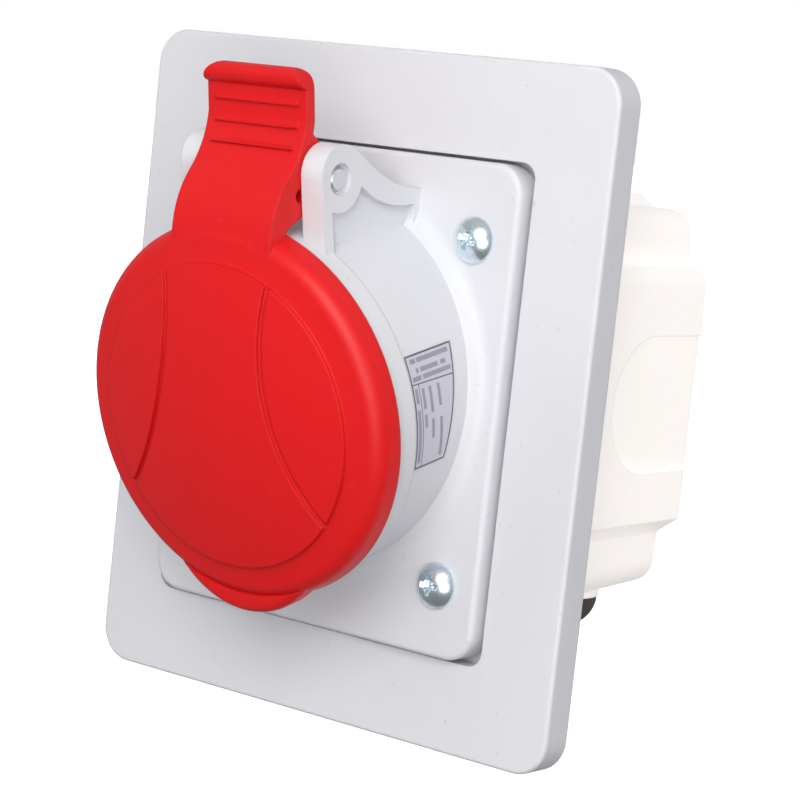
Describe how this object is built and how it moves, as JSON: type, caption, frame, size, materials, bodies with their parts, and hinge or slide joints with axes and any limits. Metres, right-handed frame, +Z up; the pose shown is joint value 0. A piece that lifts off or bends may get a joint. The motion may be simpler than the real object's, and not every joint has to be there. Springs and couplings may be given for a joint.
{
  "type": "industrial wall socket",
  "caption": "Flush-mounted industrial wall socket with an inclined round mouth, a sprung hinged lid with a lever, a square frame and a wall box behind.",
  "frame": {"origin": "the point where the socket's upright centre plane meets the wall surface, at half the height of the frame plate", "axes": "+X to the right seen from the room, +Y into the wall, +Z up"},
  "size_m": [0.1293, 0.1131, 0.15],
  "materials": {
    "grey_plastic": "light grey moulded plastic, fine satin grain",
    "red_plastic": "signal red moulded plastic, fine satin grain",
    "box_plastic": "warm white moulded plastic",
    "carrier_plastic": "dark grey moulded plastic",
    "label_film": "pale printed film",
    "seal_rubber": "soft black seal rubber",
    "black_rubber": "soft black rubber",
    "zinc_steel": "bright zinc plate",
    "pale_steel": "satin steel",
    "spring_steel": "drawn spring wire",
    "brass": "machined brass"
  },
  "bodies": {
    "socket": {"box_inserts": "brass", "cable_grommet": "black_rubber", "carrier_base": "carrier_plastic", "carrier_screws": "zinc_steel", "contact_boss": "carrier_plastic", "contact_retainer": "carrier_plastic", "contact_rings": "spring_steel", "contact_sleeve_l1": "brass", "contact_sleeve_l2": "brass", "contact_sleeve_l3": "brass", "contact_sleeve_n": "brass", "contact_sleeve_pe": "brass", "flange_gasket": "seal_rubber", "flange_screws": "zinc_steel", "frame_plate": "grey_plastic", "hinge_pin": "pale_steel", "lid_spring": "spring_steel", "rating_label": "label_film", "retainer_screw": "zinc_steel", "socket_housing": "grey_plastic", "terminal_block": "carrier_plastic", "terminal_screws": "zinc_steel", "wall_box": "box_plastic"},
    "lid": {"lid": "red_plastic", "lid_gasket": "seal_rubber"}
  },
  "joints": [
    {"name": "lid_hinge", "type": "hinge", "parent": "socket", "child": "lid", "pos_m": [0, -0.03865, 0.0462], "axis": [-1, 0, 0], "range_deg": [0, 110], "stiffness_Nm_per_rad": 0.06, "springref_deg": -51.57, "deforming": ["lid_spring"]}
  ]
}
